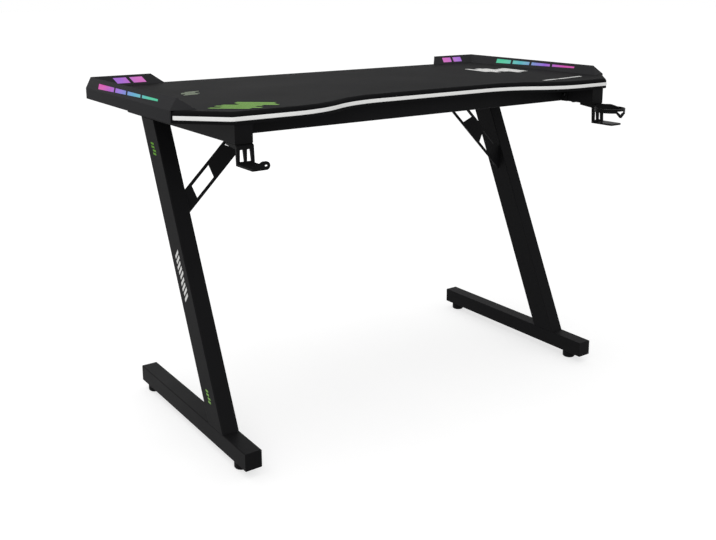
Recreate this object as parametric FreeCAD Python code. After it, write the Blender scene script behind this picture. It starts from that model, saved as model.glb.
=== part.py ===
"""Gaming desk with slanted legs: tabletop, lit rear corners, steel frame, cup holder and headset hook."""
import FreeCAD, Part
import math
import os

V = FreeCAD.Vector

# Driving dimensions, in millimetres. X runs along the width, -Y is the user's side, Z is up.
TABLE_WIDTH = 1200.0
TABLE_DEPTH = 572.0
TABLE_HEIGHT = 745.0
BOARD_THICKNESS = 24.0

# Front edge of the tabletop
CORNER_CUT = 85.0
CORNER_ROUND = 18.0
RECESS_DEPTH = 69.0
LEFT_LOBE = 132.0
RIGHT_LOBE = 84.0
WAVE_LENGTH = 250.0
SHOULDER_ROUND = 8.0

# White strip in the front edge
STRIP_HEIGHT = 8.5
STRIP_RISE = 6.0
STRIP_DEPTH = 5.0
STRIP_PROUD = 0.8

# Steel tubes
TUBE = 38.0
TUBE_WALL = 1.5
TUBE_ROUND = 2.0
BAR_FRONT_INSET = 7.0
BAR_REAR_INSET = 35.0
BAR_SIDE_INSET = 91.0
LEG_CUT = 68.0
LEG_FOOT_SETBACK = 95.0
LEG_TOP_SETBACK = 79.0
CAP_FLANGE = 2.0
CAP_PLUG = 10.0
CAP_WALL = 2.0

# Beams and braces
FRONT_BEAM_SETBACK = 95.0
BEAM_DEPTH = 38.0
BEAM_END_PLATE = 3.0
BEAM_BOLT_MARGIN = 8.0
BEAM_END_MARGIN = 9.0
BRACE_PLATE = 4.0
BRACE_WIDTH = 43.0
BRACE_DROP = 183.5
BRACE_SETBACK = 320.7
BRACE_TAB = 16.0
BRACE_TAB_BOLT_PITCH = 31.0
BRACE_BEAM_BOLT_PITCH = 25.0
BRACE_TOP_GAP = 4.0
BRACE_BORDER = 6.5
BRACE_CUT_LENGTH = 60.0
BRACE_CUT_SKEW = 12.5
BRACE_CUT_STARTS = (29.0, 159.0)

# Levelling feet
FOOT_HEIGHT = 18.0
FOOT_FRONT_SETBACK = 50.0
FOOT_REAR_SETBACK = 30.0
PAD_RADIUS = 16.0
PAD_BEVEL = 2.5
STUD_RADIUS = 4.0
STUD_RISE = 22.0
STUD_COLLAR_RADIUS = 8.0
STUD_COLLAR = 1.2
STUD_SOCKET = 9.0
FOOT_INSERT_RADIUS = 7.0
FOOT_INSERT_HEIGHT = 14.0
FOOT_INSERT_FLANGE = 1.5
FOOT_INSERT_FLANGE_RADIUS = 10.0

# Light housings on the rear corners
HOUSING_WALL = 2.5
RIDGE_RISE = 21.0
RIDGE_INSET = 21.0
SLOPE_RUN = 27.0
HOUSING_LENGTH = 502.0
FRONT_RAMP = 21.0
REAR_ARM_LENGTH = 189.0
END_SKEW = 24.0
REAR_CUT_X = 21.0
REAR_CUT_Y = 26.0
BOSS_RADIUS = 4.0
FRONT_BOSS_SETBACK = 37.0
SIDE_BOSS_SETBACK = 50.0
ARM_BOSS_SETBACK = 2.0
ARM_BOSS_INSET = 8.0

# Lit windows: rows on the outer slope, the inner slope and the rear slope. Weights say how the windows
# of a row share its length, bands how far down the slope they start and end, slants how they lean.
OUTER_ROW_FRONT = 76.0
OUTER_ROW_REAR = 84.0
INNER_ROW_FRONT = 69.0
INNER_ROW_REAR = 124.0
REAR_ROW_INNER = 22.0
REAR_ROW_OUTER = 73.0
OUTER_WEIGHTS = (76.0, 67.0, 58.0, 90.0)
INNER_WEIGHTS = (75.0, 66.0, 62.0, 55.0)
REAR_WEIGHTS = (1.0, 1.0)
WINDOW_GAP = 8.0
OUTER_FRONT_BAND = (0.41, 0.57)
OUTER_REAR_BAND = (0.38, 0.83)
INNER_FRONT_BAND = (0.3, 0.48)
INNER_REAR_BAND = (0.24, 0.74)
REAR_BAND = (0.23, 0.79)
OUTER_SLANT = 1.4
INNER_SLANT = 0.55
REAR_SLANT = 0.3
WINDOW_SETBACK = 0.3
DIFFUSER_PLATE = 1.5
DIFFUSER_MARGIN = 2.0

# LED strips
LED_STRIP_WIDTH = 8.0
LED_STRIP_THICKNESS = 1.0
LED_STRIP_BOSS_GAP = 1.0
LED_STRIP_REAR_INSET = 4.0
LED_STRIP_FRONT = 49.0
LED_SIZE = 5.0
LED_HEIGHT = 1.6
LED_PITCH = 33.0

# Control box, its leads and clips under the board
BOX_WIDTH = 90.0
BOX_DEPTH = 52.0
BOX_HEIGHT = 24.0
BOX_WALL = 2.0
BOX_REAR_INSET = 8.0
BOX_EAR = 12.0
BOX_EAR_DEPTH = 20.0
POST_RADIUS = 2.5
POST_HEIGHT = 6.0
CIRCUIT_SIDE_GAP = 8.0
CIRCUIT_FRONT_GAP = 13.7
CIRCUIT_THICKNESS = 1.6
BUTTON_RADIUS = 6.0
BUTTON_PROUD = 1.5
BUTTON_FLANGE = 1.5
BUTTON_TRAVEL = 1.2
INLET_WIDTH = 11.0
INLET_HEIGHT = 5.0
INLET_LENGTH = 12.0
INLET_SLOT_WIDTH = 9.0
INLET_SLOT_HEIGHT = 3.0
INLET_SLOT_DEPTH = 8.0
LEAD_RADIUS = 2.0
LEAD_DROP = 4.0
LEAD_SCREW_GAP = 1.0
LEAD_BEND = 15.0
LEAD_ARM_SETBACK = 5.0
LEAD_RISE = 2.0
LEAD_INSIDE = 18.0
CLIP_LENGTH = 12.0
CLIP_WIDTH = 10.0
CLIP_WALL = 0.8
CLIP_COUNT = 2

# Cup holder and headset hook
BRACKET_WIDTH = 37.0
BRACKET_FLANGE = 37.0
FLANGE_THIN = 4.5
FLANGE_THICK = 9.0
BRACKET_PLATE = 6.0
BRACKET_FRONT = 6.0
BRACKET_LEAN = 2.5
BRACKET_SHOULDER = 3.0
CUP_PLATE_DROP = 46.0
HOOK_PLATE_DROP = 40.0
PLATE_SLOT_LOW = 10.5
PLATE_SLOT_HIGH = 7.5
PLATE_SLOT_PITCH = 15.0
PLATE_SLOT_TOP = 10.0
PLATE_SLOT_BOTTOM = 7.0
TONGUE = 4.0
CUP_TONGUE_REACH = 62.0
TONGUE_ROUND = 4.0
RING_RADIUS = 33.5
RING_WALL = 3.0
RING_HEIGHT = 10.0
RING_DROP = 5.0
RING_EDGE_GAP = 1.5
RIM_RISE = 4.5
RIM_STEP = 0.8
RIM_REAR = 22.0
RIM_RAMP = 15.0
LUG_WIDTH = 28.0
LUG_DEPTH = 12.0
LUG_BAR = 4.0
LUG_EYE_RISE = 4.5
HOOK_REACH = 64.0
HOOK_TIP_RADIUS = 8.0
HOOK_RAMP = 21.5
HOOK_CORNER_CUT = 20.0
HOOK_EYE_LENGTH = 7.0
HOOK_EYE_HEIGHT = 3.6

# Fasteners
M6_RADIUS = 3.0
M6_HEAD_RADIUS = 5.5
M6_HEAD_HEIGHT = 4.0
M6_NUT_RADIUS = 5.5
M6_NUT_HEIGHT = 5.0
M6_TAIL = 2.0
TOP_SCREW_FRONT = 75.0
TOP_SCREW_REAR = 38.0
TOP_SCREW_BITE = 15.0
TOP_INSERT_RADIUS = 4.5
M4_RADIUS = 2.0
M4_HEAD_RADIUS = 4.0
M4_HEAD_HEIGHT = 2.2
M4_BITE = 9.0
BRACKET_SCREW_SETBACKS = (15.0, 27.0)
BRACKET_SCREW_SEAT = 2.5
EAR_SCREW_BITE = 12.0

# Clearances
FIT_GAP = 0.1
SKIRT_GAP = 0.3
RUN_GAP = 0.05
MOVE_GAP = 0.3
HOLE_GAP = 0.2
OVERCUT = 1.0

# Places worked out from the sizes above
half_width = TABLE_WIDTH / 2
cup_reach = RING_EDGE_GAP + 2 * RING_RADIUS + RING_WALL
rear_y = (TABLE_DEPTH + cup_reach) / 2
front_y = rear_y - TABLE_DEPTH
bar_rear_y = rear_y - BAR_REAR_INSET
bar_front_y = front_y + BAR_FRONT_INSET
bar_outer_x = half_width - BAR_SIDE_INSET
bar_inner_x = bar_outer_x - TUBE
bar_mid_x = bar_outer_x - TUBE / 2
under_z = TABLE_HEIGHT - BOARD_THICKNESS
top_bar_z = under_z - TUBE
foot_top_z = FOOT_HEIGHT + TUBE
pad_height = FOOT_HEIGHT - STUD_COLLAR - 2 * MOVE_GAP
leg_foot_y = bar_front_y + LEG_FOOT_SETBACK
leg_top_y = bar_rear_y - LEG_TOP_SETBACK - LEG_CUT
board_inset = HOUSING_WALL + SKIRT_GAP
housing_front_y = rear_y - HOUSING_LENGTH
side_start_y = max(housing_front_y, front_y + CORNER_CUT)
arm_end_x = half_width - REAR_ARM_LENGTH
arm_rear_x = arm_end_x + END_SKEW
ridge_x = half_width - RIDGE_INSET
ridge_z = TABLE_HEIGHT + RIDGE_RISE
bracket_y = bar_front_y - BRACKET_FRONT
bracket_low_y = bracket_y - BRACKET_LEAN
front_beam_y = bar_front_y + FRONT_BEAM_SETBACK
beam_bolt_pitch = BEAM_DEPTH + 2 * BEAM_BOLT_MARGIN
beam_end_width = beam_bolt_pitch + 2 * BEAM_END_MARGIN
tab_share = (top_bar_z - BRACE_DROP - foot_top_z) / (top_bar_z - foot_top_z)
tab_bolt_y = leg_foot_y + tab_share * (leg_top_y - leg_foot_y) + LEG_CUT / 2
brace_y = bar_front_y + BRACE_SETBACK
rear_beam_y = brace_y + BRACE_PLATE
lead_y = rear_y - ARM_BOSS_INSET - M4_HEAD_RADIUS - LEAD_SCREW_GAP - LEAD_RADIUS
lead_z = under_z - LEAD_DROP
lead_end_x = arm_rear_x + LEAD_ARM_SETBACK
box_rear_y = rear_y - BOX_REAR_INSET
box_front_y = box_rear_y - BOX_DEPTH
box_low_z = under_z - BOX_HEIGHT


def block(x0, x1, y0, y1, z0, z1):
    return Part.makeBox(x1 - x0, y1 - y0, z1 - z0, V(x0, y0, z0))


def rod(base, direction, radius, length):
    return Part.makeCylinder(radius, length, base, direction)


def prism(points, sweep):
    """Extrude the closed polygon through the points along the vector."""
    wire = Part.makePolygon(list(points) + [points[0]])
    return Part.Face(wire).extrude(sweep)


def plan_prism(points, z0, z1):
    return prism([V(x, y, z0) for x, y in points], V(0, 0, z1 - z0))


def joined(shapes):
    return shapes[0].fuse(shapes[1:]).removeSplitter()


def mirrored(shape):
    return shape.mirror(V(0, 0, 0), V(1, 0, 0))


def save(node, shape):
    """Write one node: a single solid, or a group of separate solids."""
    solids = shape.Solids
    result = solids[0] if len(solids) == 1 else Part.makeCompound(solids)
    result.exportStep("parts/" + node + ".step")
    print(node, len(solids), round(result.Volume / 1000.0, 2), "cm3", result.isValid())


def save_pair(name, right_shape):
    save("right_" + name, right_shape)
    save("left_" + name, mirrored(right_shape))


def group(shapes):
    return Part.makeCompound([solid for shape in shapes for solid in shape.Solids])


def both_sides(shapes):
    return group(shapes + [mirrored(shape) for shape in shapes])


# Tabletop

def outline_corner(inset):
    """Rear right corner of the desk's outline, moved inwards by the inset: two points."""
    slant = math.hypot(REAR_CUT_X, REAR_CUT_Y)
    side = (half_width - inset, rear_y - REAR_CUT_Y + inset * (REAR_CUT_Y - slant) / REAR_CUT_X)
    rear = (half_width - REAR_CUT_X + inset * (REAR_CUT_X - slant) / REAR_CUT_Y, rear_y - inset)
    return side, rear


def wave(x0, y0, x1, y1):
    """Two tangent arcs that carry the front edge from one level to the other."""
    dx = x1 - x0
    dy = y1 - y0
    radius = (dx * dx + dy * dy) / (4 * abs(dy))
    sag = radius - math.sqrt(radius * radius - dx * dx / 16)
    bulge = math.copysign(sag, dy)
    middle = V((x0 + x1) / 2, (y0 + y1) / 2, under_z)
    first = Part.Arc(V(x0, y0, under_z), V(x0 + dx / 4, y0 + bulge, under_z), middle)
    second = Part.Arc(middle, V(x1 - dx / 4, y1 - bulge, under_z), V(x1, y1, under_z))
    return [first.toShape(), second.toShape()]


def board_blank():
    """Board with its wavy front edge, cut corners and rounded upper shoulder."""
    side_x = half_width - board_inset
    cut_y = front_y + CORNER_CUT - board_inset
    cut_x = half_width - CORNER_CUT
    side, rear = outline_corner(board_inset)
    recess_y = front_y + RECESS_DEPTH
    left_x = -cut_x + LEFT_LOBE
    right_x = cut_x - RIGHT_LOBE

    def line(a, b):
        return Part.LineSegment(V(a[0], a[1], under_z), V(b[0], b[1], under_z)).toShape()

    edges = [line((-side_x, cut_y), (-cut_x, front_y))]
    edges.append(line((-cut_x, front_y), (left_x, front_y)))
    edges += wave(left_x, front_y, left_x + WAVE_LENGTH, recess_y)
    edges.append(line((left_x + WAVE_LENGTH, recess_y), (right_x - WAVE_LENGTH, recess_y)))
    edges += wave(right_x - WAVE_LENGTH, recess_y, right_x, front_y)
    edges.append(line((right_x, front_y), (cut_x, front_y)))
    edges.append(line((cut_x, front_y), (side_x, cut_y)))
    edges.append(line((side_x, cut_y), side))
    edges.append(line(side, rear))
    edges.append(line(rear, (-rear[0], rear[1])))
    edges.append(line((-rear[0], rear[1]), (-side[0], side[1])))
    edges.append(line((-side[0], side[1]), (-side_x, cut_y)))
    blank = Part.Face(Part.Wire(edges)).extrude(V(0, 0, BOARD_THICKNESS))

    def is_corner(edge):
        box = edge.BoundBox
        return box.ZLength > BOARD_THICKNESS / 2 and abs(box.Center.x) > cut_x - 1

    blank = blank.makeFillet(CORNER_ROUND, [edge for edge in blank.Edges if is_corner(edge)])
    rim = [edge for edge in blank.Edges if edge.BoundBox.ZMin > TABLE_HEIGHT - 0.01]
    return blank.makeFillet(SHOULDER_ROUND, rim)


def front_band(blank, grow, depth, low_z, high_z):
    """Band along the front edge: from depth inside the outline to grow outside it."""
    floor = min(blank.Faces, key=lambda face: face.CenterOfMass.z)
    outer = floor.makeOffset2D(grow)
    inner = floor.makeOffset2D(-depth)
    band = outer.cut(inner)
    band.translate(V(0, 0, low_z - under_z))
    solid = band.extrude(V(0, 0, high_z - low_z))
    end_y = front_y + CORNER_CUT - board_inset
    return solid.common(block(-half_width, half_width, front_y - CORNER_CUT, end_y, low_z, high_z))


def top_screw_places():
    front = bar_front_y + TOP_SCREW_FRONT
    rear = bar_rear_y - TOP_SCREW_REAR
    return [(bar_mid_x, y) for y in (front, (front + rear) / 2, rear)]


def boss_places():
    front = (ridge_x, side_start_y + FRONT_BOSS_SETBACK)
    side = (ridge_x, rear_y - SIDE_BOSS_SETBACK)
    arm = (arm_rear_x + ARM_BOSS_SETBACK, rear_y - ARM_BOSS_INSET)
    return [front, side, arm]


def ear_screw_places():
    return [(BOX_WIDTH / 2 + BOX_EAR / 2, box_rear_y - BOX_DEPTH / 2)]


def make_tabletop():
    blank = board_blank()
    strip_z = under_z + STRIP_RISE
    groove = front_band(blank, STRIP_PROUD + OVERCUT, STRIP_DEPTH, strip_z, strip_z + STRIP_HEIGHT)
    tools = []
    for x, y in top_screw_places():
        radius = TOP_INSERT_RADIUS + FIT_GAP
        tools.append(rod(V(x, y, under_z), V(0, 0, 1), radius, TOP_SCREW_BITE + HOLE_GAP))
    for x, y in boss_places():
        tools.append(rod(V(x, y, under_z), V(0, 0, 1), M4_RADIUS + HOLE_GAP, BOARD_THICKNESS))
    for x, y in ear_screw_places():
        tools.append(rod(V(x, y, under_z), V(0, 0, 1), M4_RADIUS + FIT_GAP, EAR_SCREW_BITE + HOLE_GAP))
    lead_hole = V(lead_end_x, lead_y, under_z)
    tools.append(rod(lead_hole, V(0, 0, 1), LEAD_RADIUS + 2 * HOLE_GAP, BOARD_THICKNESS))
    bend_top = min(lead_z + LEAD_BEND, TABLE_HEIGHT)
    tools.append(block(lead_end_x - LEAD_BEND, lead_end_x, lead_y - LEAD_RADIUS - HOLE_GAP,
                       lead_y + LEAD_RADIUS + HOLE_GAP, under_z, bend_top))
    tools += [mirrored(tool) for tool in tools]
    save("tabletop_board", blank.cut([groove] + tools))
    strip = front_band(blank, STRIP_PROUD, STRIP_DEPTH - FIT_GAP, strip_z + FIT_GAP,
                       strip_z + STRIP_HEIGHT - FIT_GAP)
    save("edge_strip", strip)


# Light housings

def roof(inset):
    """Roof of the right housing with slanted ends, every face moved inwards by the inset."""
    def shift(run):
        return inset * math.hypot(run, RIDGE_RISE) / RIDGE_RISE

    low = TABLE_HEIGHT
    eave_x = half_width - shift(RIDGE_INSET)
    foot_x = half_width - RIDGE_INSET - SLOPE_RUN + shift(SLOPE_RUN)
    share = (eave_x - foot_x) / (RIDGE_INSET + SLOPE_RUN)
    peak_x = eave_x - share * RIDGE_INSET
    front_skew = (side_start_y - housing_front_y) / (RIDGE_INSET + SLOPE_RUN)
    front_shift = inset * math.hypot(1, FRONT_RAMP / RIDGE_RISE, front_skew)
    tip_y = housing_front_y + front_shift + front_skew * shift(SLOPE_RUN)
    wall_y = rear_y - inset
    end_shift = inset * math.hypot(END_SKEW, SLOPE_RUN) / SLOPE_RUN
    section = [V(eave_x, tip_y, low), V(peak_x, tip_y, low + share * RIDGE_RISE), V(foot_x, tip_y, low)]
    side = prism(section, V(0, wall_y - tip_y, 0))
    ramp = [V(foot_x, tip_y, low), V(foot_x, tip_y + FRONT_RAMP, ridge_z), V(foot_x, wall_y, ridge_z),
            V(foot_x, wall_y, low)]
    span = eave_x - foot_x
    side = side.common(prism(ramp, V(span, front_skew * span, 0)))
    slope_y = rear_y - SLOPE_RUN + shift(SLOPE_RUN)
    crest = low + (wall_y - slope_y) * RIDGE_RISE / SLOPE_RUN
    arm = prism([V(arm_end_x, wall_y, low), V(arm_end_x, wall_y, crest), V(arm_end_x, slope_y, low)],
                V(eave_x - arm_end_x, 0, 0))
    hip = [V(arm_end_x, 0, low), V(arm_end_x, 0, ridge_z), V(eave_x - RIDGE_INSET, 0, ridge_z),
           V(eave_x, 0, low)]
    arm = arm.common(prism(hip, V(0, rear_y, 0)))
    end_y = rear_y - SLOPE_RUN
    plan = [(arm_end_x + end_shift, end_y), (eave_x, end_y), (eave_x, rear_y),
            (arm_rear_x + end_shift, rear_y)]
    arm = arm.common(plan_prism(plan, low, ridge_z))
    return joined([side, arm]).common(outline_prism(inset, low, ridge_z))


def outline_prism(inset, z0, z1):
    """Right half of the desk's outline with its cut corners, as a block from z0 to z1."""
    side, rear = outline_corner(inset)
    cut = front_y + CORNER_CUT - inset
    points = [(0, front_y), (half_width - CORNER_CUT, front_y), (half_width - inset, cut), side, rear,
              (0, rear_y - inset)]
    return plan_prism(points, z0, z1)


def skirt():
    """Wall of the right housing that hangs down over the board's edge."""
    ring = outline_prism(0, under_z, TABLE_HEIGHT).cut(outline_prism(HOUSING_WALL, under_z, TABLE_HEIGHT))
    side_zone = block(ridge_x, half_width, side_start_y, rear_y, under_z, TABLE_HEIGHT)
    rear_zone = block(arm_rear_x, half_width, rear_y - SLOPE_RUN, rear_y, under_z, TABLE_HEIGHT)
    return ring.common(side_zone.fuse(rear_zone))


class Slope:
    """One roof face: u runs along the ridge, v down the slope, w out of the face."""

    def __init__(self, origin, along, down, length):
        self.origin = origin
        self.along = along
        self.down = down
        self.out = down.cross(along) if down.cross(along).z > 0 else along.cross(down)
        self.length = length

    def prism(self, quad, w0, w1):
        base = [self.origin + self.along * u + self.down * v + self.out * w0 for u, v in quad]
        return prism(base, self.out * (w1 - w0))


def slopes():
    outer_length = math.hypot(RIDGE_INSET, RIDGE_RISE)
    inner_length = math.hypot(SLOPE_RUN, RIDGE_RISE)
    outer_down = V(RIDGE_INSET, 0, -RIDGE_RISE) / outer_length
    inner_down = V(-SLOPE_RUN, 0, -RIDGE_RISE) / inner_length
    rear_down = V(0, -SLOPE_RUN, -RIDGE_RISE) / inner_length
    side_origin = V(ridge_x, housing_front_y, ridge_z)
    rear_origin = V(arm_rear_x, rear_y, ridge_z)
    outer = Slope(side_origin, V(0, 1, 0), outer_down, outer_length)
    inner = Slope(side_origin, V(0, 1, 0), inner_down, inner_length)
    rear = Slope(rear_origin, V(1, 0, 0), rear_down, inner_length)
    return outer, inner, rear


def row_quads(slope, start, end, weights, first_band, last_band, slant, grow):
    """Slanted quads of a window row that tapers from the first band to the last, each grown all round."""
    unit = (end - start - WINDOW_GAP * (len(weights) - 1)) / sum(weights)
    middle = slope.length * sum(first_band + last_band) / 4
    reach = grow * math.hypot(1, slant)

    def corner(u, which, side):
        share = (u - start) / (end - start)
        level = slope.length * (first_band[which] + share * (last_band[which] - first_band[which]))
        v = level + (grow if which else -grow)
        return u + side * reach - slant * (v - middle), v

    quads = []
    u0 = start
    for weight in weights:
        u1 = u0 + weight * unit
        quads.append([corner(u0, 0, -1), corner(u1, 0, 1), corner(u1, 1, 1), corner(u0, 1, -1)])
        u0 = u1 + WINDOW_GAP
    return quads


def window_rows():
    outer, inner, rear = slopes()
    row_start = side_start_y - housing_front_y
    outer_start = row_start + OUTER_ROW_FRONT
    inner_start = row_start + INNER_ROW_FRONT
    outer_end = HOUSING_LENGTH - OUTER_ROW_REAR
    inner_end = HOUSING_LENGTH - INNER_ROW_REAR
    rear_end = half_width - arm_rear_x - REAR_ROW_OUTER
    return {
        "outer_diffuser": (outer, outer_start, outer_end, OUTER_WEIGHTS, OUTER_FRONT_BAND, OUTER_REAR_BAND,
                           OUTER_SLANT),
        "inner_diffuser": (inner, inner_start, inner_end, INNER_WEIGHTS, INNER_FRONT_BAND, INNER_REAR_BAND,
                           INNER_SLANT),
        "rear_diffuser": (rear, REAR_ROW_INNER, rear_end, REAR_WEIGHTS, REAR_BAND, REAR_BAND, REAR_SLANT),
    }


def make_housings():
    shell = joined([roof(0), skirt()]).cut(roof(HOUSING_WALL))
    bosses = []
    pilots = []
    for x, y in boss_places():
        post = rod(V(x, y, TABLE_HEIGHT), V(0, 0, 1), BOSS_RADIUS, RIDGE_RISE)
        bosses.append(post.common(roof(HOUSING_WALL / 2)))
        pilots.append(rod(V(x, y, TABLE_HEIGHT), V(0, 0, 1), M4_RADIUS + FIT_GAP, M4_BITE + FIT_GAP))
    shell = joined([shell] + bosses).cut(pilots)
    for name, row in window_rows().items():
        slope, start, end = row[0], row[1], row[2]
        holes = [slope.prism(quad, -2 * HOUSING_WALL, HOUSING_WALL) for quad in row_quads(*row, 0)]
        shell = shell.cut(holes)
        plate_top = -HOUSING_WALL - FIT_GAP
        single = (slope, start, end, (1.0,)) + row[4:]
        plate = slope.prism(row_quads(*single, DIFFUSER_MARGIN)[0], plate_top - DIFFUSER_PLATE, plate_top)
        plate = plate.common(roof(HOUSING_WALL + FIT_GAP))
        panes = [slope.prism(quad, plate_top - DIFFUSER_PLATE / 2, -WINDOW_SETBACK)
                 for quad in row_quads(*row, -FIT_GAP)]
        save_pair(name, joined([plate] + panes))
    save_pair("light_housing", shell)


def make_leds():
    z = TABLE_HEIGHT
    top = z + LED_STRIP_THICKNESS
    side_x1 = ridge_x - BOSS_RADIUS - LED_STRIP_BOSS_GAP
    side_x0 = side_x1 - LED_STRIP_WIDTH
    rear_y1 = rear_y - LED_STRIP_REAR_INSET
    rear_y0 = rear_y1 - LED_STRIP_WIDTH
    start_y = side_start_y + LED_STRIP_FRONT
    arm_boss_x = boss_places()[-1][0]
    start_x = max(lead_end_x + LEAD_RADIUS, arm_boss_x + BOSS_RADIUS) + MOVE_GAP
    side = block(side_x0, side_x1, start_y, rear_y1, z, top)
    rear = block(start_x, side_x1, rear_y0, rear_y1, z, top)
    save_pair("led_strip", joined([side, rear]))
    half = LED_SIZE / 2
    places = []
    y = start_y + LED_SIZE
    while y < rear_y0 - LED_SIZE:
        places.append(((side_x0 + side_x1) / 2, y))
        y += LED_PITCH
    x = start_x + LED_SIZE
    while x < side_x0 - LED_SIZE:
        places.append((x, (rear_y0 + rear_y1) / 2))
        x += LED_PITCH
    save_pair("leds", group([block(px - half, px + half, py - half, py + half, top, top + LED_HEIGHT)
                             for px, py in places]))


# Steel frame

def round_along(shape, direction, radius):
    """Round the straight edges that run along the direction."""
    edges = [edge for edge in shape.Edges
             if abs(edge.tangentAt(edge.FirstParameter).dot(direction)) > math.cos(math.radians(1))]
    return shape.makeFillet(radius, edges)


def hollow_bar(z):
    outer = block(bar_inner_x, bar_outer_x, bar_front_y, bar_rear_y, z, z + TUBE)
    outer = round_along(outer, V(0, 1, 0), TUBE_ROUND)
    inner = block(bar_inner_x + TUBE_WALL, bar_outer_x - TUBE_WALL, bar_front_y, bar_rear_y,
                  z + TUBE_WALL, z + TUBE - TUBE_WALL)
    return outer.cut(inner)


def leg_prism(x0, x1, wall):
    points = [V(x0, leg_foot_y + wall, foot_top_z), V(x0, leg_foot_y + LEG_CUT - wall, foot_top_z),
              V(x0, leg_top_y + LEG_CUT - wall, top_bar_z), V(x0, leg_top_y + wall, top_bar_z)]
    return prism(points, V(x1 - x0, 0, 0))


def end_cap(y, into, z):
    """Plastic plug with a flange; into is the direction from the bar's end into the tube."""
    flange = block(bar_inner_x, bar_outer_x, min(y, y - into * CAP_FLANGE), max(y, y - into * CAP_FLANGE),
                   z, z + TUBE)
    flange = round_along(flange, V(0, 1, 0), TUBE_ROUND)
    inset = TUBE_WALL + FIT_GAP
    y0, y1 = min(y, y + into * CAP_PLUG), max(y, y + into * CAP_PLUG)
    plug = block(bar_inner_x + inset, bar_outer_x - inset, y0, y1, z + inset, z + TUBE - inset)
    inset += CAP_WALL
    hollow = block(bar_inner_x + inset, bar_outer_x - inset, y0, y1, z + inset, z + TUBE - inset)
    return joined([flange, plug.cut(hollow)])


def foot_places():
    return {"front": bar_front_y + FOOT_FRONT_SETBACK, "rear": bar_rear_y - FOOT_REAR_SETBACK}


def beam_bolt_places(beam_y):
    middle = beam_y + BEAM_DEPTH / 2
    z = under_z - TUBE / 2
    return [V(bar_inner_x, middle + side * beam_bolt_pitch / 2, z) for side in (-1, 1)]


def brace_edge_z(x, sign):
    """Height of the brace's lower (-1) or upper (1) edge at x."""
    middle = top_bar_z - BRACE_DROP + bar_inner_x - x
    return middle + sign * BRACE_WIDTH / math.sqrt(2)


def brace_tab_bolts():
    middle = brace_edge_z(bar_inner_x, 0)
    return [V(bar_inner_x, tab_bolt_y, middle + side * BRACE_TAB_BOLT_PITCH / 2) for side in (-1, 1)]


def brace_beam_bolts():
    z = under_z - TUBE / 2
    middle = bar_inner_x + top_bar_z - BRACE_DROP - z
    return [V(middle + side * BRACE_BEAM_BOLT_PITCH / 2, rear_beam_y, z) for side in (-1, 1)]


def bolt(seat, into, grip):
    """Button-head bolt: its head sits on the seat and its shank runs into the work."""
    head = rod(seat - into * M6_HEAD_HEIGHT, into, M6_HEAD_RADIUS, M6_HEAD_HEIGHT)
    head = head.makeFillet(M6_HEAD_HEIGHT / 2, [edge for edge in head.Edges
                                                if edge.Closed and
                                                (edge.CenterOfMass - seat).dot(into) < -M6_HEAD_HEIGHT / 2])
    shank = rod(seat - into * M6_HEAD_HEIGHT / 2, into, M6_RADIUS, grip + M6_HEAD_HEIGHT / 2)
    return joined([head, shank])


def nut(seat, into):
    across = V(0, 0, 1)
    sideways = into.cross(across)
    points = []
    for step in range(6):
        angle = math.radians(60 * step)
        reach = across * math.cos(angle) + sideways * math.sin(angle)
        points.append(seat + reach * M6_NUT_RADIUS)
    return prism(points, into * M6_NUT_HEIGHT).cut(rod(seat, into, M6_RADIUS + FIT_GAP, M6_NUT_HEIGHT))


def through(places, into, thickness):
    """Bolt holes through a plate or wall that has one face at the places, on either side of it."""
    length = 2 * (thickness + OVERCUT)
    return [rod(place - into * length / 2, into, M6_RADIUS + HOLE_GAP, length) for place in places]


def make_legs():
    outwards = V(1, 0, 0)
    foot_bar = hollow_bar(FOOT_HEIGHT)
    holes = [rod(V(bar_mid_x, y, FOOT_HEIGHT), V(0, 0, 1), FOOT_INSERT_RADIUS + FIT_GAP, TUBE_WALL)
             for y in foot_places().values()]
    save_pair("foot_bar", foot_bar.cut(holes))
    rise = V(0, leg_top_y - leg_foot_y, top_bar_z - foot_top_z)
    slant = rise.Length / rise.z
    leg = round_along(leg_prism(bar_inner_x, bar_outer_x, 0), rise / rise.Length, TUBE_ROUND)
    leg = leg.cut(leg_prism(bar_inner_x + TUBE_WALL, bar_outer_x - TUBE_WALL, TUBE_WALL * slant))
    save_pair("leg", leg.cut(through(brace_tab_bolts(), outwards, TUBE_WALL)))
    top_bar = hollow_bar(top_bar_z)
    bolts = beam_bolt_places(front_beam_y) + beam_bolt_places(rear_beam_y)
    holes = through(bolts, outwards, TUBE_WALL)
    for x, y in top_screw_places():
        holes.append(rod(V(x, y, top_bar_z), V(0, 0, 1), M6_RADIUS + HOLE_GAP, TUBE))
    for setback in BRACKET_SCREW_SETBACKS:
        place = V(bar_mid_x, bar_front_y + setback, top_bar_z)
        holes.append(rod(place, V(0, 0, 1), M4_RADIUS + FIT_GAP, TUBE_WALL))
    save_pair("top_bar", top_bar.cut(holes))
    for name, z in (("foot", FOOT_HEIGHT), ("top", top_bar_z)):
        save_pair(name + "_front_cap", end_cap(bar_front_y, 1, z))
        save_pair(name + "_rear_cap", end_cap(bar_rear_y, -1, z))


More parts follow.
